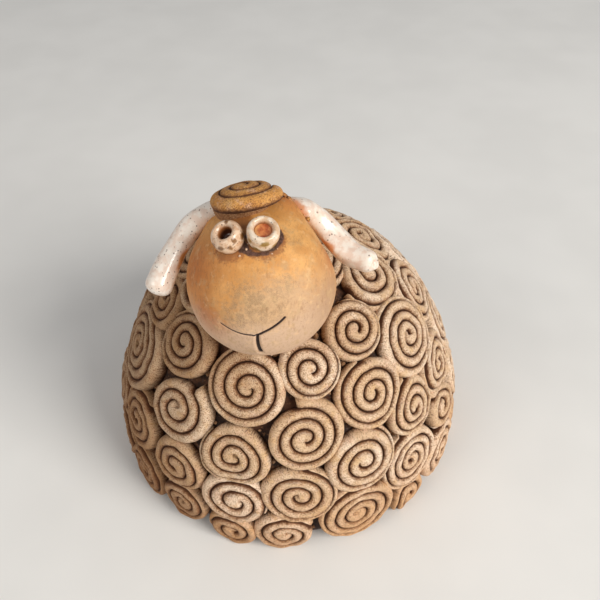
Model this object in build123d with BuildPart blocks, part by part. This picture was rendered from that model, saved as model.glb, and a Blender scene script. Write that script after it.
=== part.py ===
from build123d import *
import math
import os

# Hand-built stoneware sheep: a hollow clay dome covered with rolled spiral curls,
# and a ball head with a curl on top, two rolled ears and two bead eyes.
# Origin on the table under the middle of the dome, front towards -Y, up +Z.

# Dome: the wall's outer line is three arcs, one above the other
belly_radius = 42.6
belly_height = 5.0
foot_step = 2.5
shoulder_radius = 62.6
shoulder_angle = 40
dome_wall = 5.0
rim_width = 4.5

# Wool curls: a clay rope rolled into a flat spiral and pressed on the dome
rope_width = 2.35
least_ropes = 3
curl_height = 3.4
curl_radius = 7.5
curl_dome_radius = 45.0
curl_gap = 0.3
seat_gap = 0.15
seat_depth = 4.0
groove_depth_share = 0.45
edge_tuck_share = 0.25

# Head: a solid ball on a pad of wet clay, leaning forward from the dome's top
head_radius = 15.0
neck_gap = 0.6
head_azimuth = -11
head_lean = 25.9
collar_radius = 8.3
collar_waist_radius = 7.3
collar_depth = 3.0
collar_height = 5.2

# Mouth: grooves cut with a tool, each a bend through three places on the head,
# as azimuth and elevation in degrees
mouth_groove_radius = 0.42
mouth_left = [(-28, 3), (-15, -2), (-1, -2.5)]
mouth_right = [(-1, -2.5), (10.5, 5), (19.5, 10.5)]
mouth_middle = [(-1, -3), (-1, -13.5), (0, -28)]

# Eyes: two short beads side by side, each with a poked hole
eye_radius = 3.0
eye_height = 3.6
eye_root = 0.8
eye_foot_radius = 2.4
eye_lip_radius = 2.2
eye_rim_radius = 1.6
eye_hole_radius = 1.1
eye_hole_depth = 2.5
eyes_azimuth = -21
eyes_elevation = 69
eyes_roll = 19

# Curl on top of the head
topknot_radius = 6.9
topknot_height = 3.3
topknot_rope = 2.5
topknot_dome_radius = 24.0
topknot_azimuth = -163
topknot_elevation = 58.5
topknot_end_angle = 200
topknot_turn = 1

# Ears: rolls of clay that hang from the top of the head. Each bends through
# three places, as azimuth and elevation seen from the head's middle, and the
# gaps say how far its middle and its tip stand off the head
ear_root_radius = 2.3
ear_middle_radius = 2.7
ear_tip_radius = 2.5
ear_round = 1.9
ear_root_sink = 0.5
left_ear_bend = [(-134, 39), (-105.5, 17), (-82, -4)]
left_ear_middle_gap = 0.4
left_ear_tip_gap = 3.5
right_ear_bend = [(145, 33), (122, 11), (99.5, 2.5)]
right_ear_middle_gap = 0.1
right_ear_tip_gap = 5.5
ear_section_shares = [0, 0.35, 0.75, 1]

# Shared
overrun = 5.0
part_gap = 0.15

# Curls row by row, chosen by hand: azimuth in degrees from the front,
# height as a share of the wall's line, size share, where the rope ends
# in degrees, and which way it turns (1 or -1)
base_row_shares = [
    (-17, 0.080, 0.86, 200, 1),
    (1, 0.100, 0.90, 20, -1),
    (-34, 0.120, 0.82, 150, 1),
    (23, 0.145, 1.22, 60, -1),
    (43, 0.070, 0.66, 300, 1),
    (61, 0.130, 0.98, 100, 1),
    (80, 0.095, 0.88, 240, -1),
    (98, 0.110, 0.98, 30, 1),
    (117, 0.095, 0.92, 170, -1),
    (136, 0.110, 1.00, 310, 1),
    (155, 0.095, 0.95, 80, -1),
    (174, 0.105, 1.00, 220, 1),
    (-167, 0.095, 0.95, 10, 1),
    (-148, 0.110, 1.00, 130, -1),
    (-129, 0.095, 0.93, 270, 1),
    (-110, 0.110, 1.00, 50, -1),
    (-91, 0.095, 0.95, 190, 1),
    (-72, 0.105, 0.95, 330, -1),
    (-53, 0.095, 0.90, 110, 1),
]
lower_row_shares = [
    (-15.5, 0.225, 1.00, 330, -1),
    (4, 0.265, 1.12, 75, 1),
    (-37, 0.255, 0.95, 250, -1),
    (43, 0.240, 1.12, 100, -1),
    (64, 0.285, 0.86, 120, 1),
    (-58, 0.285, 0.95, 60, -1),
    (86, 0.255, 1.00, 200, -1),
    (108, 0.270, 1.04, 340, 1),
    (129, 0.255, 1.00, 90, 1),
    (151, 0.275, 1.04, 230, -1),
    (172, 0.260, 1.00, 20, 1),
    (-167, 0.275, 1.04, 160, -1),
    (-145, 0.265, 1.03, 300, 1),
    (-123, 0.265, 1.02, 40, -1),
    (-101, 0.265, 1.03, 180, 1),
    (-79, 0.255, 0.98, 290, -1),
]
middle_row_shares = [
    (-17, 0.375, 1.10, 30, -1),
    (25, 0.330, 1.14, 55, 1),
    (6, 0.445, 1.13, 100, 1),
    (-40, 0.435, 1.05, 300, 1),
    (49, 0.405, 0.94, 85, -1),
    (71, 0.400, 0.96, 120, -1),
    (-76, 0.440, 1.20, 240, 1),
    (95, 0.420, 1.03, 10, 1),
    (118, 0.430, 1.03, 150, -1),
    (141, 0.430, 1.03, 280, 1),
    (164, 0.435, 1.03, 50, 1),
    (-173, 0.430, 1.03, 190, -1),
    (-150, 0.435, 1.03, 320, 1),
    (-128, 0.430, 1.00, 110, -1),
    (-104, 0.430, 1.00, 220, 1),
]
shoulder_row_shares = [
    (-15, 0.575, 1.12, 330, -1),
    (11, 0.625, 0.92, 30, 1),
    (34, 0.510, 1.08, 95, -1),
    (62, 0.565, 1.17, 140, 1),
    (-49, 0.605, 1.03, 340, -1),
    (-76, 0.600, 1.00, 80, -1),
    (-101, 0.590, 1.00, 210, 1),
    (91, 0.585, 1.03, 50, -1),
    (118, 0.600, 1.03, 170, 1),
    (145, 0.595, 1.00, 300, -1),
    (171, 0.600, 1.03, 20, 1),
    (-161, 0.595, 1.03, 140, 1),
    (-130, 0.600, 1.03, 260, -1),
]
crown_row_shares = [
    (37, 0.685, 0.86, 80, 1),
    (74, 0.755, 1.00, 160, -1),
    (114, 0.750, 1.00, 290, 1),
    (150, 0.750, 1.00, 40, -1),
    (-172, 0.750, 1.00, 200, 1),
    (-135, 0.750, 1.00, 330, -1),
    (-98, 0.750, 1.00, 70, 1),
    (-62, 0.755, 0.95, 230, 1),
    (58, 0.900, 0.93, 120, -1),
    (169, 0.900, 0.95, 10, 1),
    (-82, 0.900, 0.93, 250, -1),
]


# The wall's outer line, from the foot up to the top
def crown_arc():
    turn = math.radians(shoulder_angle)
    reach = belly_radius - shoulder_radius + shoulder_radius * math.cos(turn)
    radius = reach / math.cos(turn)
    height = belly_height + (shoulder_radius - radius) * math.sin(turn)
    return radius, height


foot_radius = belly_radius - foot_step
foot_bend = (foot_step**2 + belly_height**2) / (2 * foot_step)
foot_angle = math.degrees(math.asin(belly_height / foot_bend))
crown_radius, crown_centre_height = crown_arc()
belly_middle = (belly_radius - foot_bend, belly_height)
shoulder_middle = (belly_radius - shoulder_radius, belly_height)
crown_middle = (0, crown_centre_height)
crown_span = 90 - shoulder_angle

with BuildLine(Plane.XZ) as wall_line:
    CenterArc(belly_middle, foot_bend, -foot_angle, foot_angle)
    CenterArc(shoulder_middle, shoulder_radius, 0, shoulder_angle)
    CenterArc(crown_middle, crown_radius, shoulder_angle, crown_span)
wall_path = wall_line.wires()[0]

# Dome, open underneath, with a flat rim that rests on the table
with BuildPart() as body_shell:
    with BuildSketch(Plane.XZ):
        with BuildLine():
            foot = CenterArc(belly_middle, foot_bend, -foot_angle, foot_angle)
            CenterArc(shoulder_middle, shoulder_radius, 0, shoulder_angle)
            top = CenterArc(crown_middle, crown_radius, shoulder_angle, crown_span)
            inside = CenterArc(crown_middle, crown_radius - dome_wall, 90, -crown_span)
            side = CenterArc(
                shoulder_middle, shoulder_radius - dome_wall, shoulder_angle, -shoulder_angle
            )
            rim = Line(side @ 1, (foot_radius - rim_width, 0))
            Line(rim @ 1, foot @ 0)
            Line(top @ 1, inside @ 0)
        make_face()
    revolve(axis=Axis.Z)
body_shell.part.label = "body_shell"

# What the curls are pressed on: the dome and the table, grown by the seat gap
with BuildPart() as seat_form:
    with BuildSketch(Plane.XZ):
        with BuildLine():
            foot = CenterArc(belly_middle, foot_bend + seat_gap, -foot_angle, foot_angle)
            CenterArc(shoulder_middle, shoulder_radius + seat_gap, 0, shoulder_angle)
            top = CenterArc(crown_middle, crown_radius + seat_gap, shoulder_angle, crown_span)
            Polyline(
                top @ 1,
                (0, -overrun),
                (belly_radius + overrun, -overrun),
                (belly_radius + overrun, 0),
                ((foot @ 0).X, 0),
                foot @ 0,
            )
        make_face()
    revolve(axis=Axis.Z)


# Directions are given as azimuth from the front and elevation from level
def pointing(azimuth, elevation):
    around = math.radians(azimuth)
    up = math.radians(elevation)
    return Vector(
        math.sin(around) * math.cos(up), -math.cos(around) * math.cos(up), math.sin(up)
    )


# A piece's own plane: outwards is its Z, and its X is turned up from level
def seat_plane(place, outward, azimuth, turn_angle):
    level = pointing(azimuth + 90, 0)
    upward = outward.cross(level)
    turn = math.radians(turn_angle)
    return Plane(
        origin=place,
        x_dir=level * math.cos(turn) + upward * math.sin(turn),
        z_dir=outward,
    )


# The plane that a turned piece's section is drawn on, its Y along the line
def section_through(place, line, across):
    return Plane(origin=place, x_dir=across, z_dir=across.cross(line))


def wall_spot(azimuth, rise):
    spot = wall_path @ rise
    along = wall_path % rise
    across = pointing(azimuth, 0)
    place = across * spot.X + Vector(0, 0, spot.Z)
    outward = across * along.Z - Vector(0, 0, along.X)
    return place, outward


# The head's middle lies on a line from the crown arc's middle
crown_centre = Vector(0, 0, crown_centre_height)
neck_line = pointing(head_azimuth, 90 - head_lean)
neck_spot = crown_centre + neck_line * crown_radius
head_centre = neck_spot + neck_line * (neck_gap + head_radius)
neck_plane = seat_plane(neck_spot, neck_line, head_azimuth, 0)


def head_spot(azimuth, elevation, lift=0):
    return head_centre + pointing(azimuth, elevation) * (head_radius + lift)


# One half turn's section: a row of rope crowns with a groove between each two,
# laid on a sphere of the given radius. The half turn's own middle lies at the
# shift along the plane's X, and the widths are measured from there.
def rope_section(section_plane, ball, rope, reach, pitch, shift, height):
    groove = height - groove_depth_share * rope
    bow = (pitch**2 / 4 + (height - groove) ** 2) / (2 * (height - groove))

    def spot(width, lift):
        turn = (width + shift) / (ball + groove)
        return ((ball + lift) * math.sin(turn), (ball + lift) * math.cos(turn) - ball)

    edges = [reach]
    while edges[-1] - pitch > pitch / 4:
        edges.append(edges[-1] - pitch)
    half_crown = edges[-1] < pitch * 3 / 4
    start_lift = height if half_crown else groove
    with BuildSketch(section_plane) as section:
        with BuildLine():
            Line(spot(0, -seat_depth), spot(0, start_lift))
            if half_crown:
                quarter = height - bow + math.sqrt(bow**2 - pitch**2 / 16)
                ThreePointArc(spot(0, height), spot(pitch / 4, quarter), spot(pitch / 2, groove))
            else:
                ThreePointArc(spot(0, groove), spot(pitch / 2, height), spot(pitch, groove))
            for edge in reversed(edges[:-1]):
                ThreePointArc(
                    spot(edge - pitch, groove), spot(edge - pitch / 2, height), spot(edge, groove)
                )
            tuck = spot(reach - edge_tuck_share * rope, -seat_depth)
            Polyline(spot(reach, groove), tuck, spot(0, -seat_depth))
        make_face()
    return section


# A rolled curl: half turns about two axes that lie half a rope apart, so each
# groove runs on into the next half turn and the rope ends on the plane's X.
# A turn of 1 winds outwards anticlockwise, as seen from outside.
def rolled_curl(plane, radius, turn, height, rope, ball, seat):
    ropes_across = max(least_ropes, round(2 * radius / rope))
    pitch = 2 * radius / ropes_across
    section_plane = section_through(plane.origin, plane.z_dir, plane.x_dir)
    middle = plane.origin - plane.z_dir * ball
    with BuildPart() as curl:
        for shift, way in ((0, -turn), (-pitch / 2, turn)):
            lean = shift / (ball + height - groove_depth_share * rope)
            line = plane.z_dir * math.cos(lean) + plane.x_dir * math.sin(lean)
            section = rope_section(section_plane, ball, rope, radius + shift, pitch, shift, height)
            revolve(section.sketch, axis=Axis(middle, line * way), revolution_arc=180)
        add(seat, mode=Mode.SUBTRACT)
    return curl


# Curl sizes: as wide as their share asks, held back by their neighbours
rows = {
    "base_row": base_row_shares,
    "lower": lower_row_shares,
    "middle": middle_row_shares,
    "shoulder": shoulder_row_shares,
    "crown": crown_row_shares,
}
curl_list = []
for row_name, row in rows.items():
    for azimuth, rise, size_share, end_angle, turn in row:
        place, outward = wall_spot(azimuth, rise)
        middle = place + outward * (curl_height / 2)
        curl_list.append((row_name, azimuth, place, outward, middle, size_share, end_angle, turn))


def curl_reach(index):
    own_middle, own_share = curl_list[index][4:6]
    reach = min(
        own_share * curl_radius,
        (own_middle - neck_spot).length - collar_radius - curl_gap,
    )
    for other, entry in enumerate(curl_list):
        if other != index:
            apart = (own_middle - entry[4]).length - curl_gap
            reach = min(reach, apart * own_share / (own_share + entry[5]))
    return reach


row_curls = {row_name: [] for row_name in rows}
for index, entry in enumerate(curl_list):
    row_name, azimuth, place, outward, middle, size_share, end_angle, turn = entry
    curl_plane = seat_plane(place, outward, azimuth, end_angle)
    row_curls[row_name].append(
        rolled_curl(
            curl_plane,
            curl_reach(index),
            turn,
            curl_height,
            rope_width,
            curl_dome_radius,
            seat_form.part,
        )
    )

# Pad of clay between the dome and the head, pressed hollow all round
with BuildPart() as neck_collar:
    with BuildSketch(section_through(neck_spot, neck_line, neck_plane.x_dir)):
        with BuildLine():
            Polyline(
                (collar_radius, -collar_depth),
                (0, -collar_depth),
                (0, collar_height),
                (collar_radius, collar_height),
            )
            ThreePointArc(
                (collar_radius, collar_height),
                (collar_waist_radius, (collar_height - collar_depth) / 2),
                (collar_radius, -collar_depth),
            )
        make_face()
    revolve(axis=Axis(neck_spot, neck_line))
    with Locations(head_centre):
        Sphere(head_radius + part_gap, mode=Mode.SUBTRACT)
    add(seat_form.part, mode=Mode.SUBTRACT)
neck_collar.part.label = "neck_collar"


# Head ball with its mouth, each groove swept along a bend on the ball
def bend_through(places):
    with BuildLine() as bend:
        ThreePointArc(*[head_spot(azimuth, elevation) for azimuth, elevation in places])
    return bend.line


mouth_bends = [bend_through(places) for places in (mouth_left, mouth_right, mouth_middle)]
with BuildPart() as head_ball:
    with Locations(head_centre):
        Sphere(head_radius)
    for bend in mouth_bends:
        with BuildSketch(Plane(origin=bend @ 0, z_dir=bend % 0)):
            Circle(mouth_groove_radius)
        sweep(path=bend, mode=Mode.SUBTRACT)
head_ball.part.label = "head_ball"

# What sits on the head is pressed on this ball, whose poles lie at front and back
with BuildPart() as head_form:
    with Locations(Plane(origin=head_centre, x_dir=(1, 0, -1), z_dir=(0, -1, 0))):
        Sphere(head_radius + part_gap)

# Curl on top of the head
topknot_plane = seat_plane(
    head_spot(topknot_azimuth, topknot_elevation),
    pointing(topknot_azimuth, topknot_elevation),
    topknot_azimuth,
    topknot_end_angle,
)
topknot_curl = rolled_curl(
    topknot_plane,
    topknot_radius,
    topknot_turn,
    topknot_height,
    topknot_rope,
    topknot_dome_radius,
    head_form.part,
)
topknot_curl.part.label = "topknot_curl"

# The ears are pressed against that curl's rim, and end there
with BuildPart() as topknot_room:
    with BuildSketch(topknot_plane):
        Circle(topknot_radius + part_gap)
    extrude(amount=topknot_height + overrun, both=True)

# Eyes: beads side by side about one line, a little turned out from it
eyes_line = pointing(eyes_azimuth, eyes_elevation)
eyes_plane = seat_plane(head_centre, eyes_line, eyes_azimuth, eyes_roll)
eye_spread = math.asin((eye_radius + part_gap) / (head_radius + eye_height / 2))


def bead_eye(side):
    turn = side * eye_spread
    line = eyes_plane.z_dir * math.cos(turn) + eyes_plane.x_dir * math.sin(turn)
    foot_place = head_centre + line * head_radius
    with BuildPart() as eye:
        with BuildSketch(section_through(foot_place, line, eyes_plane.y_dir)):
            with BuildLine():
                ThreePointArc(
                    (eye_foot_radius, -eye_root),
                    (eye_radius, eye_height / 2),
                    (eye_lip_radius, eye_height),
                )
                Polyline(
                    (eye_lip_radius, eye_height),
                    (eye_rim_radius, eye_height),
                    (eye_hole_radius, eye_height - eye_hole_depth),
                    (0, eye_height - eye_hole_depth),
                    (0, -eye_root),
                    (eye_foot_radius, -eye_root),
                )
            make_face()
        revolve(axis=Axis(foot_place, line))
        add(head_form.part, mode=Mode.SUBTRACT)
    return eye


eye_left = bead_eye(-1)
eye_left.part.label = "eye_left"
eye_right = bead_eye(1)
eye_right.part.label = "eye_right"


# Ears: a roll lofted through round sections along a bend, with a rounded tip
def rolled_ear(bend_angles, middle_gap, tip_gap):
    root_lift = ear_root_radius - ear_root_sink
    lifts = (root_lift, ear_middle_radius + middle_gap, ear_tip_radius + tip_gap)
    with BuildLine() as bend:
        ThreePointArc(*[head_spot(*angles, lift) for angles, lift in zip(bend_angles, lifts)])
    radii = (ear_root_radius, ear_middle_radius, ear_middle_radius, ear_tip_radius)
    with BuildPart() as ear:
        for share, radius in zip(ear_section_shares, radii):
            with BuildSketch(Plane(origin=bend.line @ share, z_dir=bend.line % share)):
                Circle(radius)
        loft()
        tip_face = ear.faces().sort_by_distance(bend.line @ 1)[0]
        fillet(tip_face.edges(), ear_round)
        add(head_form.part, mode=Mode.SUBTRACT)
        add(topknot_room.part, mode=Mode.SUBTRACT)
    return ear


ear_left = rolled_ear(left_ear_bend, left_ear_middle_gap, left_ear_tip_gap)
ear_left.part.label = "ear_left"
ear_right = rolled_ear(right_ear_bend, right_ear_middle_gap, right_ear_tip_gap)
ear_right.part.label = "ear_right"

# The lowest row and the crown are kept as groups of separate curls
with BuildPart() as base_row_curls:
    for curl in row_curls["base_row"]:
        add(curl.part)
base_row_curls.part.label = "base_row_curls"
with BuildPart() as crown_curls:
    for curl in row_curls["crown"]:
        add(curl.part)
crown_curls.part.label = "crown_curls"

os.makedirs("parts", exist_ok=True)
export_step(body_shell.part, "parts/body_shell.step")
export_step(neck_collar.part, "parts/neck_collar.step")
export_step(head_ball.part, "parts/head_ball.step")
export_step(topknot_curl.part, "parts/topknot_curl.step")
export_step(ear_left.part, "parts/ear_left.step")
export_step(ear_right.part, "parts/ear_right.step")
export_step(eye_left.part, "parts/eye_left.step")
export_step(eye_right.part, "parts/eye_right.step")
export_step(base_row_curls.part, "parts/base_row_curls.step")
export_step(crown_curls.part, "parts/crown_curls.step")
for row_name in ("lower", "middle", "shoulder"):
    for number, curl in enumerate(row_curls[row_name], start=1):
        curl.part.label = f"{row_name}_curl_{number:02d}"
        export_step(curl.part, f"parts/{row_name}_curl_{number:02d}.step")
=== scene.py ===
# %% [markdown]
# # A hand-built stoneware sheep
# The real sheep is a hollow clay dome with about seventy-five rolled spirals pressed on it, and a
# ball head with a mouth, two bead eyes, a spiral on top and two rolled ears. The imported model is
# loaded first and stays as it is: it says where each piece goes. The pieces made below are finer
# versions of its solids, in metres, in the same place.

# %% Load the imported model
import math
import bpy
import numpy as np
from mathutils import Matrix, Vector


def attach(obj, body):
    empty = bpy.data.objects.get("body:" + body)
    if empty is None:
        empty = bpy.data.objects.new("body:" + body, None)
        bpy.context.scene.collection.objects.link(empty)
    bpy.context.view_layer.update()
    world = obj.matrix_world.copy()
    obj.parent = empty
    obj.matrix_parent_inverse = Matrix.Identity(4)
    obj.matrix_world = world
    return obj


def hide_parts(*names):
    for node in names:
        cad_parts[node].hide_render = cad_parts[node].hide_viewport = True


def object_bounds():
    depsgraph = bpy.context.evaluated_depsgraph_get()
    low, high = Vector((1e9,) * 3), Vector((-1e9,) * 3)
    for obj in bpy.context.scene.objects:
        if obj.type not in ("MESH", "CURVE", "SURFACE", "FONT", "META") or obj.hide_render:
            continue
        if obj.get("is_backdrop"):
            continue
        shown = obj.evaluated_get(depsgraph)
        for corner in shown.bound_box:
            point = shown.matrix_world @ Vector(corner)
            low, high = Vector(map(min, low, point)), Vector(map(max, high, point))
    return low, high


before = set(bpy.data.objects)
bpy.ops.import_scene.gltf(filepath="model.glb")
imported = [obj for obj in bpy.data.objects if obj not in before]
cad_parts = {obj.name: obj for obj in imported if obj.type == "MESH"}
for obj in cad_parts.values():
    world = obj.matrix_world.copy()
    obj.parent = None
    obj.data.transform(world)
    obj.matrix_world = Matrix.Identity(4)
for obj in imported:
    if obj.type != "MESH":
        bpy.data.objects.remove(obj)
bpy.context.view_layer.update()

mm = 0.001
full_turn = 2 * math.pi

# %% [markdown]
# ## The dome's wall
# Every curl is pressed on the dome, so the first thing to know is where the wall is. Its line is
# three arcs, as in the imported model: foot, shoulder and crown. A spot on it is an azimuth from the
# front and a share of the way up, which keeps each curl seated from every side.

# %% The wall's line
belly_radius = 42.6 * mm
belly_height = 5.0 * mm
foot_radius = 40.1 * mm
shoulder_radius = 62.6 * mm
shoulder_turn = math.radians(40)
step_in = belly_radius - foot_radius
foot_bend = (step_in**2 + belly_height**2) / (2 * step_in)
foot_turn = math.asin(belly_height / foot_bend)
crown_reach = belly_radius - shoulder_radius * (1 - math.cos(shoulder_turn))
crown_radius = crown_reach / math.cos(shoulder_turn)
crown_middle = belly_height + (shoulder_radius - crown_radius) * math.sin(shoulder_turn)
arcs = (
    (foot_bend, belly_radius - foot_bend, belly_height, -foot_turn, 0.0),
    (shoulder_radius, belly_radius - shoulder_radius, belly_height, 0.0, shoulder_turn),
    (crown_radius, 0.0, crown_middle, shoulder_turn, math.pi / 2),
)
wall_length = sum(bend * (end - start) for bend, x, z, start, end in arcs)
print("wall line", round(wall_length / mm, 2), "mm, top at", round((crown_middle + crown_radius) / mm, 2))


# %% A spot on the wall and the directions there
def pointing(azimuth, elevation):
    around, up = math.radians(azimuth), math.radians(elevation)
    return np.array((math.sin(around) * math.cos(up), -math.cos(around) * math.cos(up), math.sin(up)))


class Seat:
    """Where a curl is pressed on: its middle, its own directions and how the seat bends away."""

    def __init__(self, place, outward, azimuth, level_bend, upward_bend):
        self.place, self.outward = place, outward
        self.level = pointing(azimuth + 90, 0)
        self.upward = np.cross(outward, self.level)
        self.bends = (level_bend, upward_bend)

    def spots(self, u, v, lift):
        drop = u**2 / (2 * self.bends[0]) + v**2 / (2 * self.bends[1])
        across = u + lift * u / self.bends[0]
        along = v + lift * v / self.bends[1]
        return (
            self.place
            + np.outer(across, self.level)
            + np.outer(along, self.upward)
            + np.outer(lift - drop, self.outward)
        )


def wall_seat(azimuth, share):
    left = share * wall_length
    for bend, x, z, start, end in arcs:
        turn = start + left / bend
        if turn <= end or bend == crown_radius:
            break
        left -= bend * (end - start)
    out = x + bend * math.cos(turn)
    across = pointing(azimuth, 0)
    up = np.array((0, 0, 1.0))
    place = across * out + up * (z + bend * math.sin(turn))
    outward = across * math.cos(turn) + up * math.sin(turn)
    return Seat(place, outward, azimuth, out / math.cos(turn), bend)


# %% [markdown]
# ## Turning arrays into pieces
# Blender makes a mesh from a list of points and a list of faces. This helper does that, smooths the
# shading and stores what the finishes need: a map along the rope, and numbers at each point, such
# as how deep it lies in a groove. Stored on the mesh, the finish stays with the clay in any view.


# %% Mesh helper
def make_piece(name, points, faces, finish, rope_map=None, **numbers):
    mesh = bpy.data.meshes.new(name)
    mesh.from_pydata([tuple(p) for p in points], [], faces)
    if rope_map is not None:
        layer = mesh.uv_layers.new(name="rope")
        corners = np.zeros(len(mesh.loops), np.int32)
        mesh.loops.foreach_get("vertex_index", corners)
        layer.data.foreach_set("uv", np.asarray(rope_map, np.float32)[corners].ravel())
    for key, values in numbers.items():
        field = mesh.attributes.new(key, "FLOAT", "POINT")
        field.data.foreach_set("value", np.full(len(points), values, np.float32))
    mesh.polygons.foreach_set("use_smooth", np.ones(len(mesh.polygons), bool))
    mesh.materials.append(finish)
    mesh.update()
    piece = bpy.data.objects.new(name, mesh)
    bpy.context.scene.collection.objects.link(piece)
    return piece


def place_in_model(piece, node=None):
    """Hides the solid it stands for, if any, and hangs the piece on the fired body it rides on."""
    if node:
        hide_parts(node)
    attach(piece, "root")


# %% Faces between rings of points
def ring_quads(rings, section, order=(0, 1, 2, 3)):
    """Quads between rings of points; the order says which corner is first and which way they run."""
    spot = np.arange(section)
    first = (np.arange(rings - 1)[:, None] * section + spot).ravel()
    after = (np.arange(rings - 1)[:, None] * section + (spot + 1) % section).ravel()
    corners = (first, after, after + section, first + section)
    return np.stack([corners[k] for k in order], axis=1).tolist()


def tube_faces(rings, section, flip=False):
    """Quads round a tube of rings, with both ends closed."""
    ring = np.arange(section)
    faces = ring_quads(rings, section) + [ring[::-1].tolist(), ((rings - 1) * section + ring).tolist()]
    return [face[::-1] for face in faces] if flip else faces


# %% Small helpers: a unit direction, a soft hump, seeded chance and an uneven line
def unit(way):
    return way / np.linalg.norm(way)


def hump(value, middle, spread):
    """1 at the middle, and softly down to 0 on both sides of it."""
    return np.exp(-(((value - middle) / spread) ** 2))


def seeded(seed):
    return np.random.default_rng(seed)


def wobble(along, seed, waves, strength):
    """A smooth uneven line: a few waves added up, with lengths in the same unit as along."""
    dice = seeded(seed)
    total = np.zeros_like(along, dtype=float)
    for wave in waves:
        total += np.sin(full_turn * (along / wave + dice.random())) * (0.6 + 0.4 * dice.random())
    return strength * total / len(waves)


# %% [markdown]
# ## Colours
# The colours are read off the clay as a potter would name them, on the usual 0 to 255 scale. Blender
# works in light amounts, so a helper turns them over. The same few clays serve the whole sheep.


# %% Colour helper and the clays
def clay(red, green, blue):
    def amount(value):
        value /= 255
        return value / 12.92 if value <= 0.04045 else ((value + 0.055) / 1.055) ** 2.4

    return (amount(red), amount(green), amount(blue), 1.0)


buff_light = clay(246, 225, 201)
buff_mid = clay(216, 185, 150)
buff_deep = clay(166, 122, 84)
pink_buff = clay(222, 184, 158)
straw = clay(214, 172, 112)
ash = clay(150, 136, 126)
oxide = clay(78, 41, 14)
oxide_soft = clay(130, 83, 41)
ochre = clay(204, 140, 72)


# %% [markdown]
# ## Small tools for finishes
# A finish is a small graph of nodes. Each helper below adds one kind of node and returns its output,
# so that a finish reads as a list of steps. The colour is built up as a potter does it: the clay's
# own two colours, then others laid on where a grain is high, or rubbed in by some amount.


# %% Finish helpers
coat_rough = 0.12


class Finish:
    def __init__(self, name):
        self.material = bpy.data.materials.new(name)
        self.material.use_nodes = True
        self.tree = self.material.node_tree
        self.shader = self.tree.nodes["Principled BSDF"]
        self.place = self.add("ShaderNodeTexCoord").outputs["Object"]
        self.colour = None

    def add(self, kind, **settings):
        node = self.tree.nodes.new(kind)
        for key, value in settings.items():
            setattr(node, key, value)
        return node

    def link(self, output, socket):
        self.tree.links.new(output, socket)

    def feed(self, socket, value):
        if isinstance(value, bpy.types.NodeSocket):
            self.link(value, socket)
        else:
            socket.default_value = value

    def number(self, name):
        return self.add("ShaderNodeAttribute", attribute_name=name).outputs["Fac"]

    def stretched(self, place, scale):
        moved = self.add("ShaderNodeMapping")
        self.link(place, moved.inputs["Vector"])
        moved.inputs["Scale"].default_value = scale
        return moved.outputs["Vector"]

    def grain(self, size, detail=3.0, rough=0.6, place=None, out="Fac"):
        node = self.add("ShaderNodeTexNoise")
        node.inputs["Scale"].default_value = 1 / size
        node.inputs["Detail"].default_value = detail
        node.inputs["Roughness"].default_value = rough
        self.link(place or self.place, node.inputs["Vector"])
        return node.outputs[out]

    def cells(self, size, place=None, feature="F1"):
        node = self.add("ShaderNodeTexVoronoi", feature=feature)
        node.inputs["Scale"].default_value = 1 / size
        self.link(place or self.place, node.inputs["Vector"])
        return node.outputs["Distance"]

    def band(self, value, low, high, start=0.0, end=1.0):
        node = self.add("ShaderNodeMapRange", interpolation_type="SMOOTHSTEP")
        self.feed(node.inputs["Value"], value)
        for key, amount in (("From Min", low), ("From Max", high), ("To Min", start), ("To Max", end)):
            node.inputs[key].default_value = amount
        return node.outputs["Result"]

    def work_out(self, kind, first, second):
        node = self.add("ShaderNodeMath", operation=kind)
        self.feed(node.inputs[0], first)
        self.feed(node.inputs[1], second)
        return node.outputs["Value"]

    def plus(self, first, second):
        return self.work_out("ADD", first, second)

    def minus(self, first, second):
        return self.work_out("SUBTRACT", first, second)

    def times(self, first, second):
        return self.work_out("MULTIPLY", first, second)

    def uneven(self, grain, strength):
        """A grain moved to lie evenly about nothing, which breaks up the edge of a stain."""
        return self.times(self.minus(grain, 0.5), strength)

    def mix(self, amount, first, second, blend="MIX"):
        node = self.add("ShaderNodeMix", data_type="RGBA", blend_type=blend)
        self.feed(node.inputs[0], amount)
        self.feed(node.inputs[6], first)
        self.feed(node.inputs[7], second)
        return node.outputs[2]

    def clays(self, value, low, high, first, second):
        """The clay's own two colours."""
        self.colour = self.mix(self.band(value, low, high), first, second)

    def rub(self, colour, amount, blend="MIX"):
        """A colour rubbed in by some amount."""
        self.colour = self.mix(amount, self.colour, colour, blend)

    def lay(self, colour, value, low, high, most=1.0):
        """A colour laid on where the value is high: none of it at low, and the most from high on."""
        self.rub(colour, self.band(value, low, high, 0.0, most))

    def bump(self, height, strength, depth, under=None):
        node = self.add("ShaderNodeBump")
        self.link(height, node.inputs["Height"])
        node.inputs["Strength"].default_value = strength
        node.inputs["Distance"].default_value = depth
        if under is not None:
            self.link(under, node.inputs["Normal"])
        return node.outputs["Normal"]

    def done(self, rough, normal, coat=0.0):
        self.link(self.colour, self.shader.inputs["Base Color"])
        self.feed(self.shader.inputs["Roughness"], rough)
        self.link(normal, self.shader.inputs["Normal"])
        self.shader.inputs["Coat Weight"].default_value = coat
        self.shader.inputs["Coat Roughness"].default_value = coat_rough
        return self.material
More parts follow.
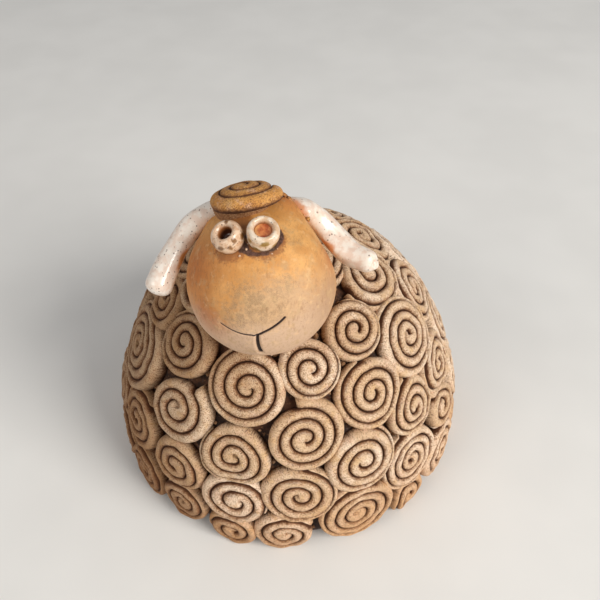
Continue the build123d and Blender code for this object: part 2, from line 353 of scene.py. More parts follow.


# %% [markdown]
# ## Finish of the curls
# Bare stoneware has sand in it, so its face is matt, and buff, pink and straw yellow by turns. The
# potter brushed a brown oxide wash over the curls and wiped the high parts clean: it stays in the
# grooves as a line, and beside them as short strokes across the rope, where rolling tore the skin.
# The groove number stored on each curl says where. Near the table the clay took more flame and is
# warmer. On the left, at the left of the foot and round the neck the colour is darkened with painted
# shade, where the light from the right and the head leave the curls dim.


# %% Curl clay
def curl_clay_finish(name, light, mid, deep, strokes, wash=1.0):
    look = Finish(name)
    near = look.number("groove")
    sandy = look.grain(0.32 * mm, 2.0, 0.6)
    look.clays(look.plus(look.grain(5 * mm, 2.0), look.number("tone")), 0.30, 0.78, mid, light)
    look.lay(pink_buff, look.grain(1.9 * mm, 3.0), 0.50, 0.66, 0.5)
    look.lay(straw, look.grain(3.1 * mm, 3.0, 0.7), 0.54, 0.66, 0.4)
    grey = look.times(look.band(look.grain(4.3 * mm, 2.0), 0.54, 0.64), look.band(near, 0.1, 0.6))
    look.rub(ash, look.times(grey, 0.5))
    look.rub(ochre, look.times(look.number("warm"), 0.62))
    look.lay(deep, sandy, 0.44, 0.68, 0.55)
    loose = look.plus(look.grain(0.24 * mm, 1.0), look.times(near, 0.18))
    look.lay(clay(116, 74, 40), loose, 0.575, 0.665, 0.75)
    rope = look.add("ShaderNodeUVMap", uv_map="rope").outputs["UV"]
    torn = look.grain(1.0, 2.0, 0.6, look.stretched(rope, (3.6, 1.2, 1.0)))
    sides = look.plus(look.times(look.number("edge"), 0.06), look.times(near, 0.13))
    torn = look.band(look.plus(torn, sides), 0.62, 0.73, 0.0, strokes)
    look.rub(clay(78, 47, 25), torn)
    line = look.plus(near, look.uneven(look.grain(0.7 * mm, 2.0), 0.35))
    look.lay(oxide_soft, line, 0.45, 0.85, 0.60 * wash)
    look.lay(oxide, line, 0.73, 0.91, wash)
    # Painted shade: a darker brown is rubbed in, then the colour is multiplied down, where the stored shade
    # number is high.
    look.rub(clay(94, 58, 28), look.times(look.number("sooty"), 0.62))
    look.rub(clay(255, 241, 216), look.number("sooty"), "MULTIPLY")
    normal = look.bump(sandy, 0.45, 0.12 * mm)
    normal = look.bump(look.grain(1.1 * mm, 3.0), 0.35, 0.30 * mm, normal)
    normal = look.bump(look.minus(1.0, torn), 0.45, 0.16 * mm, normal)
    return look.done(0.9, normal)


curl_clay = curl_clay_finish("curl_clay", buff_light, buff_mid, buff_deep, 0.75)
topknot_clay = curl_clay_finish(
    "topknot_clay", clay(216, 160, 88), clay(196, 134, 66), clay(140, 84, 38), 0.12, 0.9
)
print("finishes", [m.name for m in bpy.data.materials])

# %% [markdown]
# ## Where the curls sit
# One entry for each curl, row by row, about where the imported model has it: azimuth, share of the way
# up the wall, size share, where the rope ends, and the way it winds. The first entries of each row
# are the curls that show from the front.

# %% The rows
rows = {
    "base_row": (
        (-17, 0.080, 0.77, 200, 1), (-0.5, 0.100, 0.90, 20, -1), (-34, 0.120, 0.82, 150, 1),
        (23, 0.145, 1.22, 60, -1), (43, 0.070, 0.66, 300, 1), (61, 0.130, 0.98, 100, 1),
        (80, 0.095, 0.88, 240, -1), (98, 0.110, 0.98, 30, 1), (117, 0.095, 0.92, 170, -1),
        (136, 0.110, 1.00, 310, 1), (155, 0.095, 0.95, 80, -1), (174, 0.105, 1.00, 220, 1),
        (-167, 0.095, 0.95, 10, 1), (-148, 0.110, 1.00, 130, -1), (-129, 0.095, 0.93, 270, 1),
        (-110, 0.110, 1.00, 50, -1), (-91, 0.095, 0.95, 190, 1), (-72, 0.105, 0.95, 330, -1),
        (-53, 0.095, 0.90, 110, 1),
    ),
    "lower": (
        (-15.5, 0.225, 1.00, 330, -1), (4, 0.258, 1.12, 75, 1), (-37, 0.255, 0.95, 250, -1),
        (43, 0.240, 1.12, 100, -1), (64, 0.285, 0.86, 120, 1), (-58, 0.285, 0.95, 60, -1),
        (86, 0.255, 1.00, 200, -1), (108, 0.270, 1.04, 340, 1), (129, 0.255, 1.00, 90, 1),
        (151, 0.275, 1.04, 230, -1), (172, 0.260, 1.00, 20, 1), (-167, 0.275, 1.04, 160, -1),
        (-145, 0.265, 1.03, 300, 1), (-123, 0.265, 1.02, 40, -1), (-101, 0.265, 1.03, 180, 1),
        (-79, 0.255, 0.98, 290, -1),
    ),
    "middle": (
        (-17, 0.368, 1.03, 140, -1), (25, 0.330, 1.14, 55, 1), (7, 0.438, 1.24, 100, 1),
        (-40.5, 0.435, 1.16, 65, 1), (49, 0.405, 0.94, 85, -1), (71, 0.400, 0.96, 120, -1),
        (-75, 0.452, 1.34, 240, 1), (95, 0.420, 1.03, 10, 1), (118, 0.430, 1.03, 150, -1),
        (141, 0.430, 1.03, 280, 1), (164, 0.435, 1.03, 50, 1), (-173, 0.430, 1.03, 190, -1),
        (-150, 0.435, 1.03, 320, 1), (-128, 0.430, 1.00, 110, -1), (-104, 0.430, 1.00, 220, 1),
    ),
    "shoulder": (
        (-15, 0.575, 1.12, 62, -1), (10.4, 0.625, 0.86, 30, 1), (34, 0.510, 1.08, 95, -1),
        (62, 0.565, 1.17, 140, 1), (-49, 0.605, 1.03, 60, -1), (-77, 0.622, 0.86, 80, -1),
        (-101, 0.590, 1.00, 210, 1), (91, 0.585, 1.03, 50, -1), (118, 0.600, 1.03, 170, 1),
        (145, 0.595, 1.00, 300, -1), (171, 0.600, 1.03, 20, 1), (-161, 0.595, 1.03, 140, 1),
        (-130, 0.600, 1.03, 260, -1),
    ),
    "crown": (
        (37, 0.685, 0.86, 80, 1), (74, 0.755, 1.00, 160, -1), (114, 0.750, 1.00, 290, 1),
        (150, 0.750, 1.00, 40, -1), (-172, 0.750, 1.00, 200, 1), (-135, 0.750, 1.00, 330, -1),
        (-98, 0.750, 1.00, 70, 1), (-62, 0.755, 0.95, 230, 1), (58, 0.900, 0.93, 120, -1),
        (169, 0.900, 0.95, 10, 1), (-82, 0.900, 0.93, 250, -1),
    ),
}
seats = [
    (row, wall_seat(azimuth, share), size, end, turn)
    for row, curls in rows.items()
    for azimuth, share, size, end, turn in curls
]
print(len(seats), "curls in", len(rows), "rows")

# %% [markdown]
# ## Pressed outlines
# A curl is rolled round, but pressed on wet next to its neighbours it gives a little and fills the
# space that they leave. So each outline is worked out in many directions: as far as the curl's own
# size, and no further than the line half way to each neighbour. Curls at the sides and the back may
# be a little larger, which closes the gaps there. Keeping only the slowest waves of the outline
# turns its corners into an oval, as clay does.

# %% Outline of each curl
curl_size = 7.8 * mm
curl_height = 3.4 * mm
side_from, side_full, side_growth = 45, 60, 0.12
neighbour_reach = 24 * mm
least_room = 3 * mm
directions = np.radians(np.arange(0, 360, 5))
middles = np.array([seat.place + seat.outward * curl_height / 2 for _, seat, *_ in seats])
head_lean = pointing(-11, 64.1)
neck_spot = np.array((0, 0, crown_middle)) + head_lean * crown_radius
neck_size = 8.3 * mm


def pressed_outline(index, slow_waves=3, press=1.01):
    seat, size = seats[index][1:3]
    around = abs(math.degrees(math.atan2(seat.place[0], -seat.place[1])))
    size *= 1 + side_growth * min(max((around - side_from) / (side_full - side_from), 0), 1)
    reach = np.full(len(directions), size * curl_size)
    others = [(middles[k], seats[k][2]) for k in range(len(seats)) if k != index]
    for middle, other_size in others + [(neck_spot, None)]:
        apart = middle - middles[index]
        distance = np.linalg.norm(apart)
        if distance > neighbour_reach:
            continue
        heading = math.atan2(apart @ seat.upward, apart @ seat.level)
        if other_size is None:
            half = max(distance - neck_size, least_room)
        else:
            half = distance * size / (size + other_size)
        facing = np.cos(directions - heading)
        reach = np.where(facing > 0.2, np.minimum(reach, half / np.maximum(facing, 0.2)), reach)
    waves = np.fft.rfft(reach)
    waves[slow_waves + 1 :] = 0
    return press * np.fft.irfft(waves, len(directions))


outlines = [pressed_outline(k) for k in range(len(seats))]
print("mean curl width", round(2 * float(np.mean(outlines)) / mm, 1), "mm")


# %% [markdown]
# ## Rolling the rope
# A curl is one rope of clay, rolled from the inside out. One line does most of the work: the groove,
# a spiral that grows one rope width each turn. The rope lies between that line and the same line one
# turn earlier, so neighbouring turns always meet, and its top is rounded down to the groove on both
# sides. At the middle the clay runs over without a hole. The last turn is squeezed against the
# outline and thins out, or it ends at full width, cut square.


# %% Groove line
rope_step = 0.4 * mm
tightest_bend = 1.5 * mm


def groove_line(angles, pitch, seed):
    """How far out the groove lies at each angle of winding, as a share of the outline."""
    uneven = wobble(angles, seed, (2.3, 3.7, 5.9), 0.05 * pitch)
    return np.minimum(np.maximum(pitch * angles / full_turn + uneven, 0.02 * pitch), 1.0)


def winding(pitch, tail, start, size):
    """Angles of winding from the start to the tail, one step of rope apart."""
    last = full_turn / pitch + full_turn * (1 - tail)
    angles = [start]
    while angles[-1] < last:
        out = max(min(angles[-1] * pitch / full_turn, 1.0) * size, tightest_bend)
        angles.append(angles[-1] + rope_step / out)
    return np.array(angles)


def ease(value):
    value = np.clip(value, 0, 1)
    return value * value * (3 - 2 * value)


def rounding(gap, half):
    """How far a rope's top falls near its edge: 1 at the edge, 0 from half a width inwards."""
    near = np.clip(1 - gap / half, 0, 1)
    return 1 - (1 - near**2.5) ** (1 / 2.5)


# %% Rope spiral
rope_tops = 11
least_turns = 2.4
groove_fall, rim_fall = 0.42, 0.38
foot_depth = 0.3 * mm
crimp_depth = 0.07 * mm


def rolled_rope(seat, outline, turn, end, rope, height, seed, tail, dome, tilt=(0, 0), shift=(0, 0)):
    dice = seeded(seed)
    size = outline.mean()
    pitch = 1 / max(least_turns, round(2 * size / rope) / 2)
    start = dice.uniform(0.9, 2.8)
    angles = winding(pitch, tail, start, size)
    count = len(angles)
    inside = angles >= start + full_turn
    inner = np.where(inside, groove_line(angles - full_turn, pitch, seed), -0.02 * mm / size)
    outer = groove_line(angles, pitch, seed)
    heading = math.radians(end) + turn * (angles - angles[-1])
    outline_here = np.interp(
        heading % full_turn, np.append(directions, full_turn), np.append(outline, outline[0])
    )
    width = (outer - inner) * outline_here
    plain = pitch * size
    length = np.concatenate(([0], np.cumsum(np.diff(angles) * ((outer + inner) / 2 * outline_here)[1:])))
    # How tall the rope is along its way: lower where it is squeezed thin, and at its blunt end.
    settled = ease((angles - start - full_turn) / 3)
    blunt = 0.72 + 0.28 * ease((length[-1] - length) / (0.3 * rope))
    slim = np.clip(width / plain, 0.3, 1)
    tall = height * (1 + settled * wobble(length, seed + 2, (7 * mm, 11 * mm, 4 * mm), 0.08))
    tall *= blunt * (0.50 + 0.50 * slim)
    # The section: its top falls to the grooves, and further down at the bare rim of the last turn.
    across = (1 - np.cos(math.pi * np.arange(rope_tops) / (rope_tops - 1))) / 2
    from_inner = across[None, :] * width[:, None]
    from_outer = (1 - across)[None, :] * width[:, None]
    half = np.minimum(width, plain)[:, None] / 2
    bare = ease((angles - angles[-1] + full_turn) / 0.5)[:, None]
    begun = ease((angles - start) / 0.5)[:, None]
    begun_inner = ease((angles - full_turn - start) / 0.5)[:, None]
    fall_inner = begun_inner * rounding(from_inner, half)
    fall_outer = begun * rounding(from_outer, half * (1 + 0.35 * bare))
    level = 1 - groove_fall * fall_inner - (groove_fall + rim_fall * bare) * fall_outer
    share = inner[:, None] + (outer - inner)[:, None] * across[None, :]
    lift = tall[:, None] * level + dome * height * (1 - share**2)
    # Two more points close each ring below, sunk in the wall.
    share = np.concatenate((share, share[:, -1:] - 0.10 * pitch, share[:, :1] + 0.05 * pitch), axis=1)
    lift = np.concatenate((lift, np.full((count, 2), -foot_depth)), axis=1)
    section = rope_tops + 2
    ways = np.stack((np.cos(heading), np.sin(heading)))[:, :, None]
    oval = size + (outline_here - size)[:, None] * np.sqrt(np.clip(share, 0, 1))
    crimp = wobble(length, seed + 3, (1.3 * mm, 1.9 * mm, 0.9 * mm), crimp_depth)[:, None] * bare
    reach = share * oval + crimp * np.append(across**4, (1, 0))
    u, v = ways * reach + np.array(shift)[:, None, None] * (1 - np.clip(share, 0, 1))
    lift = lift + (tilt[0] * u + tilt[1] * v) * np.append(np.ones(rope_tops), (0, 0))
    points = seat.spots(u.ravel(), v.ravel(), lift.ravel())
    # What the finish needs: how deep in a groove, how near the bare rim, and a map along the rope.
    close_inner = begun_inner * np.clip(1 - from_inner / half, 0, 1)
    close_outer = begun * np.clip(1 - from_outer / half, 0, 1)
    low = np.clip(1.15 * (1 - level) - 0.20, 0, 0.95)
    groove = np.maximum(close_inner, close_outer * (1 - bare) + low * bare)
    groove = np.concatenate((groove, np.ones((count, 2))), axis=1)
    edge = np.concatenate((bare * across**2, bare, 0 * bare), axis=1)
    beside = np.concatenate((from_inner / mm, from_inner[:, -1:] / mm + 3.0, 0 * bare), axis=1)
    rope_map = np.stack((np.repeat(length / mm, section) + 100 * dice.random(), beside.ravel()), axis=1)
    return points, tube_faces(count, section, turn > 0), rope_map, groove.ravel(), edge.ravel()


# %% Several ropes as one piece
floor_gap = 0.15 * mm
flame_height, foot_height = 26 * mm, 16 * mm
smoke_reach = 26 * mm


def ropes_piece(name, ropes, finish, tones):
    points, sides, maps, grooves, edges = zip(*ropes)
    counts = [len(some) for some in points]
    starts = [sum(counts[:k]) for k in range(len(counts))]
    faces = [[i + start for i in side] for start, some in zip(starts, sides) for side in some]
    points = np.concatenate(points)
    points[:, 2] = np.maximum(points[:, 2], floor_gap)
    warm = np.clip(1 - points[:, 2] / flame_height, 0, 1)
    # Painted shade, stored for the finish: darker on the left side away from the light, round the neck in the
    # head's shadow, and at the left of the foot where little light bounces up.
    left = np.clip((-points[:, 0] - 14 * mm) / smoke_reach, 0, 1)
    collar = hump(np.linalg.norm(points - neck_spot, axis=1), 0, smoke_reach)
    collar *= 0.30 + 0.60 * np.clip(-points[:, 0] / (12 * mm), 0, 1)
    foot = np.clip(1 - points[:, 2] / foot_height, 0, 1)
    foot *= np.clip((6 * mm - points[:, 0]) / smoke_reach, 0, 1)
    return make_piece(
        name, points, faces, finish, np.concatenate(maps),
        groove=np.concatenate(grooves), edge=np.concatenate(edges), tone=np.repeat(tones, counts),
        warm=warm, sooty=np.clip(left + 0.8 * foot + collar, 0, 1),
    )


# %% Roll every curl
rope_width = 2.3 * mm
free_ends = {("middle", 2), ("middle", 3), ("lower", 4)}
rolled = {row: [] for row in rows}
for k, (row, seat, size, end, turn) in enumerate(seats):
    dice = seeded(900 + k)
    dome, free = dice.uniform(-0.06, 0.12), dice.random() > 0.75 and seat.place[1] > 0
    tilt = dice.normal(0, 0.035, 2)
    shift = dice.normal(0, 0.35, 2) * mm
    tail = 1.0 if free or (row, len(rolled[row])) in free_ends else dice.uniform(0.25, 0.42)
    rope = rope_width * dice.uniform(0.96, 1.06)
    rolled[row].append(
        rolled_rope(seat, outlines[k], turn, end, rope, curl_height, 40 * k, tail, dome, tilt, shift)
    )
shades = seeded(7)
for row, ropes in rolled.items():
    tones = shades.uniform(-0.18, 0.22, len(ropes))
    if row in ("base_row", "crown"):
        piece = ropes_piece(f"{row}_wool", ropes, curl_clay, tones)
        place_in_model(piece, f"{row}_curls")
        continue
    for number, (rope, shade) in enumerate(zip(ropes, tones), start=1):
        piece = ropes_piece(f"{row}_wool_{number:02d}", [rope], curl_clay, [shade])
        place_in_model(piece, f"{row}_curl_{number:02d}")
print("points in the curls", sum(len(r[0]) for ropes in rolled.values() for r in ropes))

# %% [markdown]
# ## The dome itself
# Between the curls the dome's wall shows, dark with wash, and its colour is darkened further as
# painted shade for the deep gaps between the curls. The imported solid has the right shape, so it
# stays and only gets its finish: a brown that is darker in patches, rough as wet clay that was
# scored before the curls were pressed on.

# %% Dome clay
look = Finish("dome_clay_finish")
scored = look.grain(0.7 * mm, 3.0, 0.7)
# Wash and painted shade: both browns are kept very dark, for the shaded gaps between the curls.
look.clays(look.grain(3 * mm, 4.0), 0.4, 0.65, clay(44, 25, 15), clay(88, 54, 33))
look.lay(clay(112, 98, 94), look.grain(2.1 * mm, 3.0), 0.58, 0.68, 0.5)
look.lay(clay(156, 112, 76), scored, 0.55, 0.72, 0.6)
dome_clay = look.done(0.92, look.bump(scored, 0.7, 0.4 * mm))
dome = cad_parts["body_shell"]
dome.data.materials.clear()
dome.data.materials.append(dome_clay)

# %% [markdown]
# ## Crumbs between the curls
# Pressing a curl on squeezes slip out, and it dries in the gaps as crumbs. Spots are thrown at random
# on the wall and kept where no curl covers them. Each crumb is a small uneven lump, sunk in the wall.


# %% Lumps
def lump(place, size, dice, rings=6, segments=8):
    stretch = dice.uniform(0.6, 1.3, 3) * size
    waves = dice.normal(size=(3, 3))
    points = []
    for k in range(rings):
        for j in range(segments):
            way = pointing(360 * j / segments, 90 - 180 * k / (rings - 1))
            points.append(place + way * stretch * (1 + 0.12 * np.sin(waves @ way * 3).sum()))
    return points, ring_quads(rings, segments, (0, 3, 2, 1))


def lumps_piece(name, spots, finish, slot, seed, **numbers):
    dice = seeded(seed)
    points, faces = [], []
    for place, size in spots:
        some, sides = lump(place, size, dice)
        faces += [[i + len(points) for i in side] for side in sides]
        points += some
    place_in_model(make_piece(name, points, faces, finish, **numbers))


# %% Crumbs in the gaps
crumb_count = 160
curl_near = 14 * mm
neck_clear = 8.5 * mm
dice = seeded(77)
crumbs = []
while len(crumbs) < crumb_count:
    seat = wall_seat(dice.uniform(-180, 180), dice.uniform(0.06, 0.92))
    clear = 9.0
    for k, (row, other, *_) in enumerate(seats):
        apart = seat.place - other.place
        if apart @ apart > curl_near**2:
            continue
        heading = math.atan2(apart @ other.upward, apart @ other.level) % full_turn
        rim = np.interp(heading, directions, outlines[k])
        clear = min(clear, (np.linalg.norm(apart) - rim) / mm)
    if -0.3 < clear < 1.6 and np.linalg.norm(seat.place - neck_spot) > neck_clear:
        place = seat.place + seat.outward * dice.uniform(0.0, 0.5) * mm
        crumbs.append((place, dice.uniform(0.3, 0.9) * mm))
# The crumbs carry the groove wash and a fixed amount of painted shade.
lumps_piece(
    "slip_crumbs", crumbs, curl_clay, "curl_clay", 78, groove=0.70, edge=0.0, tone=-0.1, warm=0.1, sooty=0.55
)
print("crumbs", len(crumbs))

# %% [markdown]
# ## The head
# The head is a ball rolled between the palms, so it is not quite a true sphere: it is fuller under
# the mouth and at the roots of the ears, and flatter on the right side. The mouth was drawn with a
# thin tool, which leaves a soft groove with low lips. A ball whose pole points at the mouth has its
# finest faces there, and pushing its points in along the mouth's lines carves the groove.

# %% Head ball
head_radius = 15.0 * mm
head_middle = neck_spot + head_lean * (0.6 * mm + head_radius)


def on_head(azimuth, elevation, high=0.0):
    """A spot on the ball, or so many mm above it."""
    return head_middle + pointing(azimuth, elevation) * (head_radius + high * mm)


def bend(places, count=60):
    first, second, third = (pointing(*place) for place in places)
    t = np.linspace(0, 1, count)[:, None]
    line = first * (2 * t**2 - 3 * t + 1) + second * (4 * t - 4 * t**2) + third * (2 * t**2 - t)
    return line / np.linalg.norm(line, axis=1)[:, None]


def ball(pole, rings=260, segments=300, focus=2.1):
    side = unit(np.cross(pole, (0, 0, 1.0)))
    top = np.cross(side, pole)
    t = np.linspace(0, 1, rings + 1)[1:-1]
    polar = math.pi * t**focus / (t**focus + (1 - t) ** 1.2 * 0.9)
    turn = full_turn * np.arange(segments) / segments
    flat = np.cos(turn)[:, None] * side + np.sin(turn)[:, None] * top
    grid = np.cos(polar)[:, None, None] * pole + np.sin(polar)[:, None, None] * flat
    ways = np.concatenate((grid.reshape(-1, 3), [pole], [-pole]))
    faces = ring_quads(len(polar), segments, (0, 3, 2, 1))
    tip, tail = len(polar) * segments, len(polar) * segments + 1
    last = (len(polar) - 1) * segments
    for j in range(segments):
        n = (j + 1) % segments
        faces += [(tip, j, n), (tail, last + n, last + j)]
    return ways, faces


# %% Places on the ball
def away_from(ways, line, size):
    """How far each point of the ball is from the nearest point of a line on it, in metres."""
    best = np.full(len(ways), 9.0)
    near = np.zeros(len(ways), int)
    for k, spot in enumerate(line):
        gap = np.linalg.norm(ways - spot, axis=1)
        closer = gap < best
        best[closer] = gap[closer]
        near[closer] = k
    return best * size, near / (len(line) - 1)


def blob(ways, azimuth, elevation, spread):
    turn = np.arccos(np.clip(ways @ pointing(azimuth, elevation), -1, 1))
    return hump(turn, 0, math.radians(spread))


# %% Carve the mouth
ways, head_faces = ball(pointing(-2, -6))
# Each groove: three places that it runs through, its width at both ends and its depth at both, in mm.
mouth = (
    (((-28.5, 3), (-15, -2), (-1, -2.5)), 0.16, 0.27, 0.25, 0.50),
    (((-1, -2.5), (10.5, 4.0), (19.5, 11)), 0.34, 0.28, 0.60, 0.45),
    (((-1, -2.5), (-1.2, -13.5), (0.5, -27)), 0.32, 0.44, 0.60, 0.75),
)
lip_height = 0.07 * mm
push = np.zeros(len(ways))
mouth_mark = np.zeros(len(ways))
for places, wide_start, wide_end, deep_start, deep_end in mouth:
    gap, along = away_from(ways, bend(places), head_radius)
    wide = (wide_start + (wide_end - wide_start) * along) * mm
    deep = (deep_start + (deep_end - deep_start) * along) * mm
    push = np.minimum(push, -deep * hump(gap, 0, wide))
    push += lip_height * hump(gap, 2.2 * wide, 0.8 * wide)
    mouth_mark = np.maximum(mouth_mark, hump(gap, 0, 0.95 * wide))

# %% Shape the ball
# Where the ball is fuller, or flatter where it says minus: azimuth, elevation, spread, and mm.
fullness = (
    (-52, -30, 30, 0.40), (52, -30, 32, 0.45), (2, -46, 30, 0.40),
    (114, 22, 26, -1.20), (154, 50, 17, 2.10), (-128, 38, 11, 1.0),
)
full = sum(swell * mm * blob(ways, *place, spread) for *place, spread, swell in fullness)
palm_marks = sum(0.05 * mm * np.sin(ways @ seeded(k).normal(size=3) * 5 + k) for k in range(4))
head_points = head_middle + ways * (head_radius - 0.1 * mm + push + full + palm_marks)[:, None]
print("head", len(head_points), "points, middle", [round(v / mm, 1) for v in head_middle])

# %% [markdown]
# ## Where the eyes sit
# Both eyes stand on one line across the ball, tipped a little, and turned apart from its middle. The
# head's finish needs the places too, because dark oxide ran round the feet of the beads and painted
# shade lies below them.

# %% Eye places
eyes_azimuth = -21
eyes_line = pointing(eyes_azimuth, 69)
level = pointing(eyes_azimuth + 90, 0)
upward = np.cross(eyes_line, level)
roll = math.radians(19)
eyes_side = level * math.cos(roll) + upward * math.sin(roll)
eyes_up = upward * math.cos(roll) - level * math.sin(roll)
eyes_reach = 16.6
eye_ways = [
    unit(eyes_line * eyes_reach + eyes_side * across + eyes_up * along)
    for across, along in ((-3.5, 0.32), (3.15, 0.45))
]

# %% [markdown]
# ## Finish of the head
# The head was stained with ochre, strongest on top and at the sides, and the left side is darkened
# further with painted shade, away from the light. The right cheek is rubbed to a duller peach, which
# is painted shade where the light from the right falls hardest. Round the mouth it turns to pale buff,
# where the stain was wiped off, and an olive smudge was rubbed in over the middle. Dark oxide ran round
# the feet of the eyes, most of it below and to the right; the brown below the beads and left of the
# topknot is painted shade as well as wash. Each of these is a soft spot on the ball, stored on the
# mesh, and the finish breaks up its edge with a grain. Long thin noise gives the strokes of the brush,
# and a net of hair cracks shows where the smudge is.


# %% Stored spots: azimuth, elevation, spread in degrees, and how strong
def spots_sum(*spots):
    return np.clip(sum(share * blob(ways, azimuth, high, wide) for azimuth, high, wide, share in spots), 0, 1)


pale = spots_sum((16, 2, 44, 1.15))
chin = spots_sum((-2, -28, 32, 1.25), (-50, -12, 22, 0.7), (48, -10, 26, 0.8))
peach = spots_sum((64, 6, 26, 1.1))
smudge = spots_sum(
    (-8, 26, 14, 0.9), (-18, 10, 12, 0.6), (10, 20, 11, 0.7), (26, 38, 9, 0.5), (60, 60, 10, 0.35)
)
rusty = spots_sum((-70, 30, 26, 1.0), (-40, 2, 16, 0.7), (88, 26, 12, 0.8), (150, 52, 14, 0.8))
stain = spots_sum(
    (-24, 63, 5.0, 1.10), (-11, 60, 4.0, 0.65), (1, 59.5, 4.0, 0.65), (13, 60, 4.0, 0.65),
    (25, 63, 4.0, 0.85), (36, 66, 3.5, 0.9), (46, 68.5, 3.5, 0.95), (54, 71.5, 3.5, 0.85),
    (-25, 73, 3.5, 0.9),
)
# Left of the topknot: brown wash and painted shade. Round the feet of the beads: oxide, with painted shade
# below them.
brown = spots_sum((-75, 80, 9, 0.95), (-98, 69, 11, 0.9))
bead_foot = 3.2
for way, below, right in zip(eye_ways, (0.75, 1.0), (0.55, 1.0)):
    apart = (ways - way) * head_radius / mm
    gap = np.linalg.norm(apart, axis=1)
    down, side = -(apart @ eyes_up) / np.maximum(gap, 0.1), (apart @ eyes_side) / np.maximum(gap, 0.1)
    share = np.clip(0.05 + below * np.clip(down, 0, 1) ** 0.7 + right * np.clip(side, 0, 1) ** 1.5, 0, 1)
    around_foot = hump(np.clip(gap - bead_foot, 0, None), 0, 1.5)
    brown = np.maximum(brown, np.clip(share + 0.25, 0, 1) * around_foot)

# %% Head clay: the stain
look = Finish("head_clay_finish")
fine = look.grain(0.45 * mm, 4.0, 0.65)
brushed = look.grain(1.3 * mm, 5.0, 0.7)
ragged = look.uneven(brushed, 0.7)
look.clays(look.grain(4 * mm, 4.0, 0.55), 0.35, 0.68, clay(204, 142, 72), clay(224, 166, 96))
look.lay(clay(206, 166, 124), look.plus(look.number("pale"), ragged), 0.25, 0.80)
look.lay(clay(208, 174, 144), look.plus(look.number("chin"), ragged), 0.10, 0.70)
# Painted shade: the right cheek is rubbed to a duller peach where the light from the right falls hardest.
look.rub(clay(176, 138, 104), look.times(look.number("peach"), 0.85))
# Ochre stain, and on the left side painted shade, where the light from the right leaves it dim.
look.rub(clay(180, 98, 36), look.times(look.number("rusty"), 0.82))
rubbed = look.times(look.number("smudge"), look.band(brushed, 0.36, 0.60, 0.30, 1.0))
look.rub(clay(154, 126, 86), look.times(rubbed, 0.48))

# %% Head clay: strokes, hair cracks and specks
strokes = look.grain(0.5 * mm, 4.0, 0.7, look.stretched(look.place, (1.0, 0.30, 0.30)))
look.lay(clay(140, 94, 54), look.plus(strokes, look.times(look.number("rusty"), 0.07)), 0.52, 0.74, 0.45)
look.lay(clay(188, 154, 108), look.grain(2.3 * mm, 4.0, 0.65), 0.52, 0.66, 0.40)
look.lay(clay(230, 190, 140), look.grain(1.9 * mm, 4.0, 0.6), 0.56, 0.70, 0.35)
bent = look.mix(0.10, look.place, look.grain(1.5 * mm, 2.0, 0.5, out="Color"))
cracks = look.band(look.cells(1.7 * mm, bent, "DISTANCE_TO_EDGE"), 0.03, 0.10, 1.0, 0.0)
cracks = look.times(cracks, look.band(brushed, 0.44, 0.56))
look.rub(clay(104, 76, 48), look.times(cracks, look.band(look.number("smudge"), 0.0, 0.5, 0.10, 0.60)))
speck = look.band(look.cells(0.7 * mm), 0.08, 0.16, 1.0, 0.0)
speck = look.times(speck, look.band(look.grain(2.2 * mm, 1.0), 0.48, 0.60))
look.rub(oxide_soft, look.times(speck, 0.55))
look.lay(clay(164, 116, 72), fine, 0.48, 0.76, 0.35)

# %% Head clay: oxide round the eyes, and the mouth
ragged = look.uneven(look.grain(0.9 * mm, 4.0, 0.7), 1.7)
# Brown wash and oxide, with painted shade left of the topknot and under the beads.
look.lay(clay(132, 74, 36), look.plus(look.number("brown"), ragged), 0.35, 0.90, 0.70)
wet = look.band(look.plus(look.number("stain"), look.times(ragged, 0.55)), 0.46, 0.76, 0.0, 0.90)
look.rub(look.mix(look.band(fine, 0.40, 0.62), clay(40, 26, 24), clay(94, 68, 62)), wet)
look.lay(clay(46, 28, 24), look.number("mouth"), 0.25, 0.6)
normal = look.bump(fine, 0.22, 0.12 * mm)
normal = look.bump(brushed, 0.20, 0.25 * mm, normal)
head_clay = look.done(look.minus(0.66, look.times(wet, 0.38)), normal)
head = make_piece(
    "head", head_points, head_faces, head_clay,
    pale=pale, chin=chin, peach=peach, rusty=rusty, smudge=smudge, stain=stain, brown=brown, mouth=mouth_mark,
)
place_in_model(head, "head_ball")

# %% [markdown]
# ## The curl on top of the head
# It is rolled like the others, from a rope of ochre clay, and lies on the ball, domed and tipped
# forward, with the rope's end free on the right. The same rope helper makes it.

# %% Topknot
topknot_azimuth = -155
topknot_face = pointing(topknot_azimuth, 68)
topknot_foot = on_head(-158.5, 62, 0.6) + np.array((-0.4, 0, 0.85)) * mm
topknot_seat = Seat(topknot_foot, topknot_face, topknot_azimuth, 60 * mm, 60 * mm)
topknot_outline = np.full(len(directions), 7.6 * mm)
rope = rolled_rope(
    topknot_seat, topknot_outline, turn=1, end=172, rope=2.15 * mm, height=1.25 * mm,
    seed=5010, tail=0.97, dome=1.5,
)
place_in_model(ropes_piece("topknot", [rope], topknot_clay, [0.1]), "topknot_curl")
print("topknot", len(rope[0]), "points")

# %% [markdown]
# ## Glazes
# Only the eyes and ears are glazed: a glossy creamy white that breaks to brown and ochre where it is
# thin, with fine iron specks. The same ochre also paints light and shade: a streak on each ear and two
# low spots on the right bead. Each took it a little differently, so each has its own mix; the left
# ear's white is paler as painted light, for its place on the dim left. A coat over the colour gives
# the gloss.


